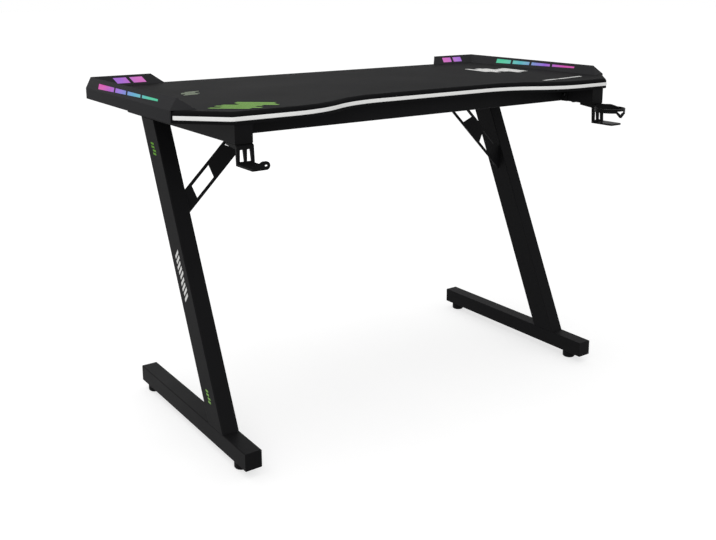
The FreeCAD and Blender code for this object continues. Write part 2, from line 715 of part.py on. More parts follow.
def make_beam(node, beam_y, extra_holes):
    reach = bar_inner_x - BEAM_END_PLATE
    tube = block(-reach, reach, beam_y, beam_y + BEAM_DEPTH, top_bar_z, under_z)
    tube = round_along(tube, V(1, 0, 0), TUBE_ROUND)
    bore = block(-reach, reach, beam_y + TUBE_WALL, beam_y + BEAM_DEPTH - TUBE_WALL,
                 top_bar_z + TUBE_WALL, under_z - TUBE_WALL)
    middle = beam_y + BEAM_DEPTH / 2
    half = beam_end_width / 2
    plate = block(reach, bar_inner_x, middle - half, middle + half, top_bar_z, under_z)
    plate = plate.cut(through(beam_bolt_places(beam_y), V(1, 0, 0), BEAM_END_PLATE))
    save(node, joined([tube.cut(bore), plate, mirrored(plate)]).cut(extra_holes))


def brace_quad(start, skew):
    """Cut-out of the brace as points along and across it, turned into x and z."""
    half = BRACE_WIDTH / 2 - BRACE_BORDER
    corners = [(start, -half), (start + BRACE_CUT_LENGTH, -half), (start + BRACE_CUT_LENGTH + skew, half),
               (start + skew, half)]
    root_z = brace_edge_z(bar_inner_x, 0)
    turn = math.sqrt(0.5)
    return [V(bar_inner_x - (along - across) * turn, brace_y, root_z + (along + across) * turn)
            for along, across in corners]


def make_braces():
    outwards = V(1, 0, 0)
    backwards = V(0, 1, 0)
    top_z = under_z - BRACE_TOP_GAP
    low_z = brace_edge_z(bar_inner_x, -1)
    high_z = brace_edge_z(bar_inner_x, 1)
    points = [V(bar_inner_x, brace_y, low_z), V(bar_inner_x, brace_y, high_z),
              V(bar_inner_x - (top_z - high_z), brace_y, top_z),
              V(bar_inner_x - (top_z - low_z), brace_y, top_z)]
    plate = prism(points, backwards * BRACE_PLATE)
    skews = (BRACE_CUT_SKEW, -BRACE_CUT_SKEW)
    cuts = []
    for start, skew in zip(BRACE_CUT_STARTS, skews):
        cuts.append(prism(brace_quad(start + max(0, -skew), skew), backwards * BRACE_PLATE))
    tab_front_y = min(brace_y, tab_bolt_y - BRACE_TAB / 2)
    tab_rear_y = max(brace_y + BRACE_PLATE, tab_bolt_y + BRACE_TAB / 2)
    tab = block(bar_inner_x - BRACE_PLATE, bar_inner_x, tab_front_y, tab_rear_y, low_z, high_z)
    holes = through(brace_tab_bolts(), outwards, BRACE_PLATE)
    holes += through(brace_beam_bolts(), backwards, BRACE_PLATE)
    save_pair("brace", joined([plate.cut(cuts), tab]).cut(holes))


def make_frame_fasteners():
    outwards = V(1, 0, 0)
    backwards = V(0, 1, 0)
    bolts, nuts = [], []
    for place in beam_bolt_places(front_beam_y) + beam_bolt_places(rear_beam_y):
        grip = BEAM_END_PLATE + TUBE_WALL + M6_NUT_HEIGHT + M6_TAIL
        bolts.append(bolt(place - outwards * BEAM_END_PLATE, outwards, grip))
        nuts.append(nut(place + outwards * TUBE_WALL, outwards))
    save("beam_bolts", both_sides(bolts))
    save("beam_nuts", both_sides(nuts))
    bolts, nuts = [], []
    grip = BRACE_PLATE + TUBE_WALL + M6_NUT_HEIGHT + M6_TAIL
    for places, into in ((brace_tab_bolts(), outwards), (brace_beam_bolts(), backwards)):
        for place in places:
            bolts.append(bolt(place - into * BRACE_PLATE, into, grip))
            nuts.append(nut(place + into * TUBE_WALL, into))
    save("brace_bolts", both_sides(bolts))
    save("brace_nuts", both_sides(nuts))
    up = V(0, 0, 1)
    screws, inserts = [], []
    for x, y in top_screw_places():
        screws.append(bolt(V(x, y, top_bar_z), up, TUBE + TOP_SCREW_BITE))
        sleeve = rod(V(x, y, under_z), up, TOP_INSERT_RADIUS, TOP_SCREW_BITE)
        inserts.append(sleeve.cut(rod(V(x, y, under_z), up, M6_RADIUS + FIT_GAP, TOP_SCREW_BITE)))
    save("tabletop_screws", both_sides(screws))
    save("tabletop_inserts", both_sides(inserts))


def small_screw(seat, grip):
    head = rod(seat - V(0, 0, M4_HEAD_HEIGHT), V(0, 0, 1), M4_HEAD_RADIUS, M4_HEAD_HEIGHT)
    return joined([head, rod(seat, V(0, 0, 1), M4_RADIUS, grip)])


def make_small_screws():
    housing = [small_screw(V(x, y, under_z), BOARD_THICKNESS + M4_BITE) for x, y in boss_places()]
    save("housing_screws", both_sides(housing))
    seat_z = top_bar_z - BRACKET_SCREW_SEAT
    bracket = [small_screw(V(bar_mid_x, bar_front_y + setback, seat_z), BRACKET_SCREW_SEAT + M4_BITE)
               for setback in BRACKET_SCREW_SETBACKS]
    save("accessory_screws", both_sides(bracket))
    ears = [small_screw(V(x, y, under_z - BOX_WALL), BOX_WALL + EAR_SCREW_BITE)
            for x, y in ear_screw_places()]
    save("control_screws", both_sides(ears))


# Levelling feet

def make_feet():
    up = V(0, 0, 1)
    inserts = []
    for end, y in foot_places().items():
        base = V(bar_mid_x, y, FOOT_HEIGHT)
        bore = rod(base, up, STUD_RADIUS + RUN_GAP, FOOT_INSERT_HEIGHT)
        flange_base = base + up * TUBE_WALL
        flange = rod(flange_base, up, FOOT_INSERT_FLANGE_RADIUS, FOOT_INSERT_FLANGE)
        inserts.append(joined([rod(base, up, FOOT_INSERT_RADIUS, FOOT_INSERT_HEIGHT), flange]).cut(bore))
        floor = V(bar_mid_x, y, 0)
        sole = Part.makeCone(PAD_RADIUS - PAD_BEVEL, PAD_RADIUS, PAD_BEVEL, floor, up)
        pad = rod(floor + up * PAD_BEVEL, up, PAD_RADIUS, pad_height - PAD_BEVEL)
        socket_z = pad_height - STUD_SOCKET
        socket = rod(floor + up * socket_z, up, STUD_RADIUS + RUN_GAP, STUD_SOCKET)
        pad = joined([pad, sole]).cut(socket)
        stud_z = socket_z + MOVE_GAP
        stud = rod(floor + up * stud_z, up, STUD_RADIUS, FOOT_HEIGHT + STUD_RISE - stud_z)
        collar = rod(floor + up * (pad_height + MOVE_GAP), up, STUD_COLLAR_RADIUS, STUD_COLLAR)
        save_pair(end + "_foot_pad", pad)
        save_pair(end + "_foot_stud", joined([stud, collar]))
    save("levelling_inserts", both_sides(inserts))


# Cup holder and headset hook

def bracket(plate_drop):
    """Wedge flange under the right top bar with a slotted plate that leans forward."""
    x0 = bar_mid_x - BRACKET_WIDTH / 2
    width = V(BRACKET_WIDTH, 0, 0)
    y = bar_front_y
    low_z = top_bar_z - plate_drop
    high_z = top_bar_z - BRACKET_SHOULDER
    flange = prism([V(x0, bracket_y, high_z), V(x0, y, top_bar_z), V(x0, y + BRACKET_FLANGE, top_bar_z),
                    V(x0, y + BRACKET_FLANGE, top_bar_z - FLANGE_THIN),
                    V(x0, bracket_y, top_bar_z - FLANGE_THICK)], width)
    plate = prism([V(x0, bracket_y + BRACKET_PLATE, high_z), V(x0, bracket_y, high_z),
                   V(x0, bracket_low_y, low_z), V(x0, bracket_low_y + BRACKET_PLATE, low_z)], width)
    tools = []
    slot_y = bracket_low_y - OVERCUT
    slot_low_z = low_z + PLATE_SLOT_BOTTOM
    slot_high_z = top_bar_z - PLATE_SLOT_TOP
    for side in (-1, 1):
        slot_x = bar_mid_x + side * PLATE_SLOT_PITCH / 2
        slot = [V(slot_x - PLATE_SLOT_LOW / 2, slot_y, slot_low_z),
                V(slot_x + PLATE_SLOT_LOW / 2, slot_y, slot_low_z),
                V(slot_x + PLATE_SLOT_HIGH / 2, slot_y, slot_high_z),
                V(slot_x - PLATE_SLOT_HIGH / 2, slot_y, slot_high_z)]
        tools.append(prism(slot, V(0, BRACKET_PLATE + BRACKET_LEAN + 2 * OVERCUT, 0)))
    plate = plate.cut(tools)
    holes = []
    for setback in BRACKET_SCREW_SETBACKS:
        seat = V(bar_mid_x, y + setback, top_bar_z - BRACKET_SCREW_SEAT)
        holes.append(rod(seat, V(0, 0, 1), M4_RADIUS + HOLE_GAP, BRACKET_SCREW_SEAT))
        holes.append(rod(seat, V(0, 0, -1), M4_HEAD_RADIUS + HOLE_GAP, FLANGE_THICK))
    return joined([flange, plate]).cut(holes)


def make_cup_holder():
    low_z = top_bar_z - CUP_PLATE_DROP
    ring_y = front_y - RING_EDGE_GAP - RING_RADIUS
    ring_top = top_bar_z - RING_DROP
    ring_base = V(bar_mid_x, ring_y, ring_top - RING_HEIGHT)
    up = V(0, 0, 1)
    outer = RING_RADIUS + RING_WALL
    half = BRACKET_WIDTH / 2
    x0, x1 = bar_mid_x - half, bar_mid_x + half
    shoulder_y = bracket_y + BRACKET_PLATE / 2
    rim_z = ring_top + RIM_RISE
    bore = rod(ring_base, up, RING_RADIUS, RING_HEIGHT)
    shoulder = block(x0, x1, ring_y + RING_RADIUS / 2, shoulder_y, ring_base.z, ring_top)
    collar = joined([rod(ring_base, up, outer, RING_HEIGHT), shoulder]).cut(bore)
    rim_base = ring_base + up * RING_HEIGHT
    rim = joined([rod(rim_base, up, outer, RIM_RISE), block(x0, x1, ring_y, shoulder_y, ring_top, rim_z)])
    ramp_y = ring_y + RIM_REAR - RIM_RAMP
    profile = [V(x0 - outer, ramp_y, ring_top), V(x0 - outer, ramp_y + RIM_RAMP, rim_z),
               V(x0 - outer, shoulder_y, rim_z), V(x0 - outer, shoulder_y, ring_top)]
    rim = rim.cut(rod(rim_base, up, RING_RADIUS + RIM_STEP, RIM_RISE))
    rim = rim.common(prism(profile, V(BRACKET_WIDTH + 2 * outer, 0, 0)))
    back_y = bracket_low_y + BRACKET_PLATE
    tip_y = back_y - CUP_TONGUE_REACH
    rounds_y = tip_y + TONGUE_ROUND
    tongue = [block(x0, x1, rounds_y, back_y, low_z, low_z + TONGUE),
              block(x0 + TONGUE_ROUND, x1 - TONGUE_ROUND, tip_y, back_y, low_z, low_z + TONGUE)]
    tongue += [rod(V(x, rounds_y, low_z), up, TONGUE_ROUND, TONGUE)
               for x in (x0 + TONGUE_ROUND, x1 - TONGUE_ROUND)]
    lug_y = ring_y - outer
    slope = LUG_DEPTH / (LUG_WIDTH / 2)
    lug_half = LUG_WIDTH / 2
    outline = [V(bar_mid_x - lug_half, lug_y, ring_base.z), V(bar_mid_x + lug_half, lug_y, ring_base.z),
               V(bar_mid_x, lug_y, ring_base.z - LUG_DEPTH)]
    eye_z = ring_base.z + LUG_EYE_RISE
    eye_half = lug_half - LUG_BAR * math.hypot(1, slope) / slope + LUG_EYE_RISE / slope
    eye = [V(bar_mid_x - eye_half, lug_y, eye_z), V(bar_mid_x + eye_half, lug_y, eye_z),
           V(bar_mid_x, lug_y, eye_z - eye_half * slope)]
    through_lug = V(0, 3 * RING_WALL, 0)
    lug = prism(outline, V(0, 2 * RING_WALL, 0))
    holder = joined([bracket(CUP_PLATE_DROP), collar, rim, lug] + tongue)
    save("cup_holder", holder.cut(prism(eye, through_lug)))


def make_headset_hook():
    low_z = top_bar_z - HOOK_PLATE_DROP
    half = BRACKET_WIDTH / 2
    x0, x1 = bar_mid_x - half, bar_mid_x + half
    back_y = bracket_low_y + BRACKET_PLATE
    tip_y = back_y - HOOK_REACH
    tongue = plan_prism([(x0 + HOOK_CORNER_CUT, tip_y), (x1, tip_y), (x1, back_y), (x0, back_y),
                         (x0, tip_y + HOOK_CORNER_CUT)], low_z, low_z + TONGUE)
    eye_x = x0 + HOOK_TIP_RADIUS
    eye_z = low_z + HOOK_TIP_RADIUS
    into = V(0, 1, 0)
    disc = rod(V(eye_x, tip_y, eye_z), into, HOOK_TIP_RADIUS, TONGUE)
    crest_z = low_z + 2 * HOOK_TIP_RADIUS
    web = prism([V(eye_x, tip_y, low_z), V(x1, tip_y, low_z), V(x1, tip_y, low_z + TONGUE),
                 V(x1 - HOOK_RAMP, tip_y, crest_z), V(eye_x, tip_y, crest_z)], V(0, TONGUE, 0))
    reach = (HOOK_EYE_LENGTH - HOOK_EYE_HEIGHT) / 2
    eye = block(eye_x - reach, eye_x + reach, tip_y, tip_y + TONGUE, eye_z - HOOK_EYE_HEIGHT / 2,
                eye_z + HOOK_EYE_HEIGHT / 2)
    ends = [rod(V(eye_x + side * reach, tip_y, eye_z), into, HOOK_EYE_HEIGHT / 2, TONGUE) for side in (-1, 1)]
    hook = joined([bracket(HOOK_PLATE_DROP), tongue, disc, web]).cut([eye] + ends)
    save("headset_hook", mirrored(hook))


# Control box

def make_control_box():
    up = V(0, 0, 1)
    half = BOX_WIDTH / 2
    z = box_low_z
    shell = block(-half, half, box_front_y, box_rear_y, z, under_z)
    shell = shell.cut(block(-half + BOX_WALL, half - BOX_WALL, box_front_y + BOX_WALL, box_rear_y - BOX_WALL,
                            z + BOX_WALL, under_z))
    ear_y = box_rear_y - BOX_DEPTH / 2
    ears = [block(half, half + BOX_EAR, ear_y - BOX_EAR_DEPTH / 2, ear_y + BOX_EAR_DEPTH / 2,
                  under_z - BOX_WALL, under_z)]
    ears.append(mirrored(ears[0]))
    posts = []
    circuit_x = half - BOX_WALL - CIRCUIT_SIDE_GAP
    circuit_y1 = box_rear_y - BOX_WALL - MOVE_GAP
    circuit_y0 = box_front_y + BOX_WALL + CIRCUIT_FRONT_GAP
    circuit_z = z + BOX_WALL + POST_HEIGHT
    for x in (-circuit_x + POST_RADIUS, circuit_x - POST_RADIUS):
        for y in (circuit_y0 + POST_RADIUS, circuit_y1 - POST_RADIUS):
            posts.append(rod(V(x, y, z + BOX_WALL), up, POST_RADIUS, POST_HEIGHT))
    button_y = (circuit_y0 + circuit_y1) / 2
    inlet_z = circuit_z + CIRCUIT_THICKNESS
    inlet_y0 = box_rear_y - INLET_LENGTH
    inlet_half = INLET_WIDTH / 2
    tools = [rod(V(0, button_y, z), up, BUTTON_RADIUS + MOVE_GAP, BOX_WALL),
             block(-inlet_half - HOLE_GAP, inlet_half + HOLE_GAP, inlet_y0, box_rear_y,
                   inlet_z - HOLE_GAP, inlet_z + INLET_HEIGHT + HOLE_GAP),
             rod(V(-half, lead_y, lead_z), V(1, 0, 0), LEAD_RADIUS + HOLE_GAP, BOX_WIDTH)]
    for x, y in ear_screw_places():
        hole = rod(V(x, y, under_z - BOX_WALL), up, M4_RADIUS + HOLE_GAP, BOX_WALL)
        tools += [hole, mirrored(hole)]
    save("control_box", joined([shell] + ears + posts).cut(tools))
    save("control_board", block(-circuit_x, circuit_x, circuit_y0, circuit_y1,
                                circuit_z, circuit_z + CIRCUIT_THICKNESS))
    flange_z = z + BOX_WALL + MOVE_GAP
    head_top = circuit_z - BUTTON_TRAVEL - MOVE_GAP
    stem = rod(V(0, button_y, z - BUTTON_PROUD), up, BUTTON_RADIUS, head_top - z + BUTTON_PROUD)
    flange = rod(V(0, button_y, flange_z), up, BUTTON_RADIUS + BUTTON_FLANGE, BUTTON_FLANGE)
    save("mode_button", joined([stem, flange]))
    body = block(-inlet_half, inlet_half, inlet_y0, box_rear_y, inlet_z, inlet_z + INLET_HEIGHT)
    slot_z = inlet_z + (INLET_HEIGHT - INLET_SLOT_HEIGHT) / 2
    slot_half = INLET_SLOT_WIDTH / 2
    slot = block(-slot_half, slot_half, box_rear_y - INLET_SLOT_DEPTH, box_rear_y,
                 slot_z, slot_z + INLET_SLOT_HEIGHT)
    save("power_inlet", body.cut(slot))


def make_leads():
    start = V(BOX_WIDTH / 2 - LEAD_INSIDE, lead_y, lead_z)
    bend_start = V(lead_end_x - LEAD_BEND, lead_y, lead_z)
    bend_end = V(lead_end_x, lead_y, lead_z + LEAD_BEND)
    turn = LEAD_BEND * math.sqrt(0.5)
    bend_mid = V(bend_start.x + turn, lead_y, bend_end.z - turn)
    finish = V(lead_end_x, lead_y, TABLE_HEIGHT + LEAD_RISE)
    path = Part.Wire([Part.LineSegment(start, bend_start).toShape(),
                      Part.Arc(bend_start, bend_mid, bend_end).toShape(),
                      Part.LineSegment(bend_end, finish).toShape()])
    profile = Part.Wire([Part.makeCircle(LEAD_RADIUS, start, V(1, 0, 0))])
    lead = path.makePipeShell([profile], True, False)
    save_pair("led_lead", lead)
    clips = []
    first = BOX_WIDTH / 2 + BOX_EAR
    for index in range(CLIP_COUNT):
        x = first + (bend_start.x - first) * (index + 0.5) / CLIP_COUNT
        saddle = block(x - CLIP_LENGTH / 2, x + CLIP_LENGTH / 2, lead_y - CLIP_WIDTH / 2,
                       lead_y + CLIP_WIDTH / 2, lead_z - LEAD_RADIUS - HOLE_GAP - CLIP_WALL, under_z)
        clips.append(saddle.cut(rod(V(x - CLIP_LENGTH, lead_y, lead_z), V(1, 0, 0), LEAD_RADIUS + HOLE_GAP,
                                    2 * CLIP_LENGTH)))
    save("lead_clips", both_sides(clips))


def main():
    os.makedirs("parts", exist_ok=True)
    make_tabletop()
    make_housings()
    make_leds()
    make_legs()
    make_beam("front_beam", front_beam_y, [])
    beam_holes = through(brace_beam_bolts(), V(0, 1, 0), TUBE_WALL)
    make_beam("rear_beam", rear_beam_y, beam_holes + [mirrored(hole) for hole in beam_holes])
    make_braces()
    make_frame_fasteners()
    make_small_screws()
    make_feet()
    make_cup_holder()
    make_headset_hook()
    make_control_box()
    make_leads()


main()
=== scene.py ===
# %% [markdown]
# # A gaming desk
# The desk is a black film-covered board on two slanted steel legs. Two plastic housings with lit
# windows sit on its rear corners, and a headset hook and a cup holder hang in front of the legs.
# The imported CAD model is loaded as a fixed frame: every size comes from it, and this script adds
# the finishes, the softened plastic edges, the bolt sockets, the light and the camera.

# %% Load the frame
import math
import bpy
from mathutils import Matrix, Vector


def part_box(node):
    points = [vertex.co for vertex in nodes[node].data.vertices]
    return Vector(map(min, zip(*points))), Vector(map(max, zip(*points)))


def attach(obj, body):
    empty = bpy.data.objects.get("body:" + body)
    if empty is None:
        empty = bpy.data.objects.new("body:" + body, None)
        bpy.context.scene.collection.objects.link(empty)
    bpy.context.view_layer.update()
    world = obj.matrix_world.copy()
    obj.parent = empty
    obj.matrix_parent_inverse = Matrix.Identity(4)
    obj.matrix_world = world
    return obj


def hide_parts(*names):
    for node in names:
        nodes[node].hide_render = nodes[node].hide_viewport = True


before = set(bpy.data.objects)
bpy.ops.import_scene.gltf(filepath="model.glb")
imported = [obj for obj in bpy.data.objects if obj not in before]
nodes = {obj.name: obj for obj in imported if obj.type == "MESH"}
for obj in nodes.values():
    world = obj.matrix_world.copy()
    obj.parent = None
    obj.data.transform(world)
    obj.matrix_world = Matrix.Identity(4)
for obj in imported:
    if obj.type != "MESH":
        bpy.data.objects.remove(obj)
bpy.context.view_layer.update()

MM = 0.001
SIDES = ("left", "right")
ENDS = ("front", "rear")

# %% [markdown]
# ## Camera
# The photograph was taken from the front left, a little above the tabletop. The numbers come from
# fitting a camera to the straight tubes: lengths on the picture are in its pixels, angles in degrees
# and the eye's place in metres. A small lens shift keeps the upright edges nearly upright, as a view
# camera does; a pitched camera without shift would make the legs lean together.

# %% Camera
SENSOR_WIDTH = 36.0
PHOTO_WIDTH = 716
FOCAL = 907.6
SHIFT_RIGHT = -13.1
SHIFT_DOWN = 90.0
YAW = 35.724
PITCH = 12.252
EYE = (-1.2692, -1.73295, 0.9755)

camera = bpy.data.objects.new("photo_camera", bpy.data.cameras.new("photo_camera"))
bpy.context.collection.objects.link(camera)
camera.data.sensor_width = SENSOR_WIDTH
camera.data.lens = FOCAL / PHOTO_WIDTH * SENSOR_WIDTH
camera.data.shift_x = SHIFT_RIGHT / PHOTO_WIDTH
camera.data.shift_y = -SHIFT_DOWN / PHOTO_WIDTH
camera.location = EYE
camera.rotation_euler = (math.radians(90 - PITCH), 0, math.radians(-YAW))
bpy.context.scene.camera = camera
print("lens", round(camera.data.lens, 2), "mm")

# %% [markdown]
# ## Helpers for finishes
# Colours are written as sRGB hex values, the way a picture editor shows them, and Blender wants
# linear light, so one function converts them. A second one adds a node with its settings and
# links, which keeps each finish short enough to read. A finish then goes either on the material
# slots of CAD nodes or on new pieces.

# %% Colour and node helpers
def colour(hex_value):
    parts = [int(hex_value[i:i + 2], 16) / 255 for i in (1, 3, 5)]
    return [p / 12.92 if p <= 0.04045 else ((p + 0.055) / 1.055) ** 2.4 for p in parts] + [1.0]


def add(tree, kind, inputs=None, **settings):
    made = tree.nodes.new("ShaderNode" + kind)
    for name, value in settings.items():
        setattr(made, name, value)
    for key, value in (inputs or {}).items():
        if isinstance(value, bpy.types.NodeSocket):
            tree.links.new(value, made.inputs[key])
        else:
            made.inputs[key].default_value = value
    return made


def new_finish(name):
    material = bpy.data.materials.new(name)
    material.use_nodes = True
    tree = material.node_tree
    tree.nodes.clear()
    shader = add(tree, "BsdfPrincipled")
    add(tree, "OutputMaterial", {"Surface": shader.outputs["BSDF"]})
    place = add(tree, "TexCoord").outputs["Object"]
    return material, tree, shader, place


def give(material, names):
    for name in names:
        for slot in nodes[name].material_slots:
            slot.material = material
    print(material.name, "on", len(names), "nodes")


def coat(material, pieces):
    for piece in pieces:
        piece.data.materials.clear()
        piece.data.materials.append(material)
    print(material.name, "on", len(pieces), "new pieces")


def both(*parts):
    return [f"{side}_{part}" for part in parts for side in SIDES]


print("sRGB #808080 is", round(colour("#808080")[0], 3), "in linear light")

# %% [markdown]
# ## Studio
# A product photograph like this is taken on white paper. A wide floor plane stands in for the paper,
# and the world gives the even fill light. A bright lamp could whiten the paper too, but it would
# bleach the desk with it, so the paper and the world are white only to what looks at them.

# %% Floor and world
bpy.context.scene.view_settings.view_transform = "Standard"
FLOOR_SIZE = 60.0
PAPER_CLOUD = 400.0 * MM
FILL = 0.6


def seen_directly(tree):
    """1 for what is seen, also in reflections and through glass; 0 for light on the desk."""
    path = add(tree, "LightPath")
    seen = add(tree, "Math", {0: path.outputs["Is Camera Ray"], 1: path.outputs["Is Glossy Ray"]},
               operation="MAXIMUM")
    return add(tree, "Math", {0: seen.outputs[0], 1: path.outputs["Is Transmission Ray"]},
               operation="MAXIMUM").outputs[0]


bpy.ops.object.select_all(action="DESELECT")
bpy.ops.mesh.primitive_plane_add(size=FLOOR_SIZE, location=(0, 0, 0))
floor = bpy.context.object
floor.name = "paper_floor"
paper, tree, shader, place = new_finish("white_paper")
cloud = add(tree, "TexNoise", {"Vector": place, "Scale": 1 / PAPER_CLOUD})
tint = add(tree, "MixRGB", {"Fac": cloud.outputs["Fac"], "Color1": colour("#b2b2b2"),
                            "Color2": colour("#b8b8b8")})
tree.links.new(tint.outputs["Color"], shader.inputs["Base Color"])
shader.inputs["Roughness"].default_value = 0.9
shader.inputs["Specular IOR Level"].default_value = 0.0
tree.links.new(seen_directly(tree), shader.inputs["Emission Strength"])
shader.inputs["Emission Color"].default_value = colour("#d2d2d2")
floor.data.materials.append(paper)

world = bpy.data.worlds.new("studio")
bpy.context.scene.world = world
world.use_nodes = True
tree = world.node_tree
tree.nodes.clear()
level = add(tree, "MapRange", {"Value": seen_directly(tree), "To Min": FILL, "To Max": 1.0})
sky = add(tree, "Background", {"Color": (1, 1, 1, 1), "Strength": level.outputs["Result"]})
add(tree, "OutputWorld", {"Surface": sky.outputs["Background"]})
print("floor", FLOOR_SIZE, "m, fill", FILL)

# %% [markdown]
# ## Lamps
# Large soft lamps give soft shadows. A broad sun from above lights the top faces, and a softbox
# beside the camera lights the white strip. One behind on the left is mirrored in the left faces of
# the tubes, which makes them paler than the front ones, and one behind the desk lays a faint sheen
# on the left half of the board. Places are in metres and softboxes in watts, and all lamps point at
# the desk's middle.

# %% Lamps
AIM = Vector((0, 0, 0.45))
SOFTBOX_SIZE = 2.4
SOFTBOXES = {"left_softbox": ((-2.4, 2.0, 1.5), 7),
             "rear_softbox": ((0.6, 3.0, 1.2), 8),
             "front_softbox": ((-2.0, -3.0, 1.8), 36)}
SUN_PLACE = (-0.3, 0.4, 3.4)
SUN_STRENGTH = 0.8
SUN_SPREAD = 60.0


def lamp(name, kind, where, energy):
    made = bpy.data.objects.new(name, bpy.data.lights.new(name, kind))
    bpy.context.collection.objects.link(made)
    made.location = where
    made.rotation_euler = (AIM - Vector(where)).to_track_quat("-Z", "Y").to_euler()
    made.data.energy = energy
    print(name, energy)
    return made.data


for name, (where, energy) in SOFTBOXES.items():
    softbox = lamp(name, "AREA", where, energy)
    softbox.shape = "SQUARE"
    softbox.size = SOFTBOX_SIZE
overhead = lamp("overhead_sun", "SUN", SUN_PLACE, SUN_STRENGTH)
overhead.angle = math.radians(SUN_SPREAD)

# %% [markdown]
# ## Softened copies
# Moulded plastic and cut plate never have razor edges: a radius of half a millimetre catches the
# light along every edge. The CAD nodes are plain, so the pieces whose edges show are copied. A
# copy's loose triangles are merged, flat faces are dissolved into one, and a bevel rounds whatever
# turns by more than the given angle. Normals weighted by face area keep the large faces flat. The
# copy then stands for the node.

# %% Softened copies
WELD = 0.01 * MM
FLAT = math.radians(0.5)
SMOOTH = math.radians(40)
HOUSING_EDGE = 0.7 * MM
BRACKET_EDGE = 0.6 * MM
CAP_EDGE = 0.7 * MM
PLATE_EDGE = 0.4 * MM
PAD_EDGE = 0.8 * MM
BOX_EDGE = 0.5 * MM


def open_copy(name):
    """A merged copy of a CAD node, alone selected and active."""
    piece = bpy.data.objects.new(name + "_finished", nodes[name].data.copy())
    bpy.context.collection.objects.link(piece)
    bpy.ops.object.select_all(action="DESELECT")
    piece.select_set(True)
    bpy.context.view_layer.objects.active = piece
    bpy.ops.mesh.customdata_custom_splitnormals_clear()
    bpy.ops.object.mode_set(mode="EDIT")
    bpy.ops.mesh.select_all(action="SELECT")
    bpy.ops.mesh.remove_doubles(threshold=WELD)
    bpy.ops.mesh.dissolve_limited(angle_limit=FLAT)
    bpy.ops.object.mode_set(mode="OBJECT")
    return piece


def stand_for(piece, name, body):
    """Shades the active piece and puts it in the place of a CAD node."""
    bpy.ops.object.shade_smooth_by_angle(angle=SMOOTH)
    even = piece.modifiers.new("flat_faces", "WEIGHTED_NORMAL")
    even.keep_sharp = True
    bpy.ops.object.modifier_apply(modifier=even.name)
    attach(piece, body)
    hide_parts(name)


def softened(name, width, body="frame", turn=30.0, steps=2):
    """A copy of a CAD node with every edge rounded that turns by more than the angle."""
    piece = open_copy(name)
    edge = piece.modifiers.new("edge_round", "BEVEL")
    edge.width = width
    edge.segments = steps
    edge.limit_method = "ANGLE"
    edge.angle_limit = math.radians(turn)
    bpy.ops.object.modifier_apply(modifier=edge.name)
    stand_for(piece, name, body)
    return piece


housings = [softened(name, HOUSING_EDGE) for name in both("light_housing")]
brackets = [softened(name, BRACKET_EDGE) for name in ("cup_holder", "headset_hook")]
caps = [softened(name, CAP_EDGE)
        for name in both("foot_front_cap", "foot_rear_cap", "top_front_cap", "top_rear_cap")]
braces = [softened(name, PLATE_EDGE) for name in both("brace")]
pads = [softened(f"{side}_{end}_foot_pad", PAD_EDGE, f"{side}_{end}_pad")
        for side in SIDES for end in ENDS]
box_shell = softened("control_box", BOX_EDGE)
print("softened", [(piece.name, len(piece.data.polygons)) for piece in housings + brackets + pads])

# %% [markdown]
# ## Rounded board edge
# The board's film is drawn over a rounded upper edge a few millimetres wide. A bevel by angle would
# round the groove and the underside too. Only the rim of the top face is wanted, so the top face is
# picked first and its selection is turned into its outline.

# %% Rounded board edge
RIM = 4.0 * MM
RIM_STEPS = 4
LEVEL = 0.99
board = open_copy("tabletop_board")
board_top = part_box("tabletop_board")[1].z
for polygon in board.data.polygons:
    polygon.select = polygon.normal.z > LEVEL and polygon.center.z > board_top - WELD
bpy.ops.object.mode_set(mode="EDIT")
bpy.ops.mesh.select_mode(type="FACE")
bpy.ops.mesh.region_to_loop()
bpy.ops.mesh.bevel(offset=RIM, segments=RIM_STEPS, affect="EDGES")
bpy.ops.object.mode_set(mode="OBJECT")
stand_for(board, "tabletop_board", "frame")
print("board rim", RIM, "polygons", len(board.data.polygons))

# %% [markdown]
# ## Bolts with sockets
# The frame is bolted together with button-head screws, which have a hexagonal socket for the key.
# A CAD node holds a group of plain turned bolts. Its copy is split into the loose bolts, a six-sided
# cutter is set into each head along the bolt's longest side, and a Boolean takes it out.

# %% Bolt sockets
def socketed(name, key_radius, depth):
    """A copy of a group of bolts with a hexagonal socket in each head, the wide end."""
    piece = open_copy(name)
    bpy.ops.object.mode_set(mode="EDIT")
    bpy.ops.mesh.separate(type="LOOSE")
    bpy.ops.object.mode_set(mode="OBJECT")
    bolts = list(bpy.context.selected_objects)
    for one in bolts:
        points = [vertex.co for vertex in one.data.vertices]
        low = Vector([min(point[i] for point in points) for i in range(3)])
        high = Vector([max(point[i] for point in points) for i in range(3)])
        axis = max(range(3), key=lambda i: high[i] - low[i])
        across = (axis + 1) % 3
        middle = (low + high) / 2
        wide = max(points, key=lambda point: abs(point[across] - middle[across]))
        into = Vector((0, 0, 0))
        into[axis] = 1.0 if wide[axis] < middle[axis] else -1.0
        face = middle.copy()
        face[axis] = low[axis] if into[axis] > 0 else high[axis]
        bpy.ops.object.select_all(action="DESELECT")
        bpy.ops.mesh.primitive_cylinder_add(vertices=6, radius=key_radius, depth=2 * depth,
                                            location=face,
                                            rotation=into.to_track_quat("Z", "Y").to_euler())
        cutter = bpy.context.object
        bpy.context.view_layer.objects.active = one
        cut = one.modifiers.new("socket", "BOOLEAN")
        cut.object = cutter
        cut.solver = "EXACT"
        bpy.ops.object.modifier_apply(modifier=cut.name)
        bpy.data.objects.remove(cutter)
    bpy.ops.object.select_all(action="DESELECT")
    for one in bolts:
        one.select_set(True)
    bpy.context.view_layer.objects.active = piece
    bpy.ops.object.join()
    stand_for(piece, name, "frame")
    return piece


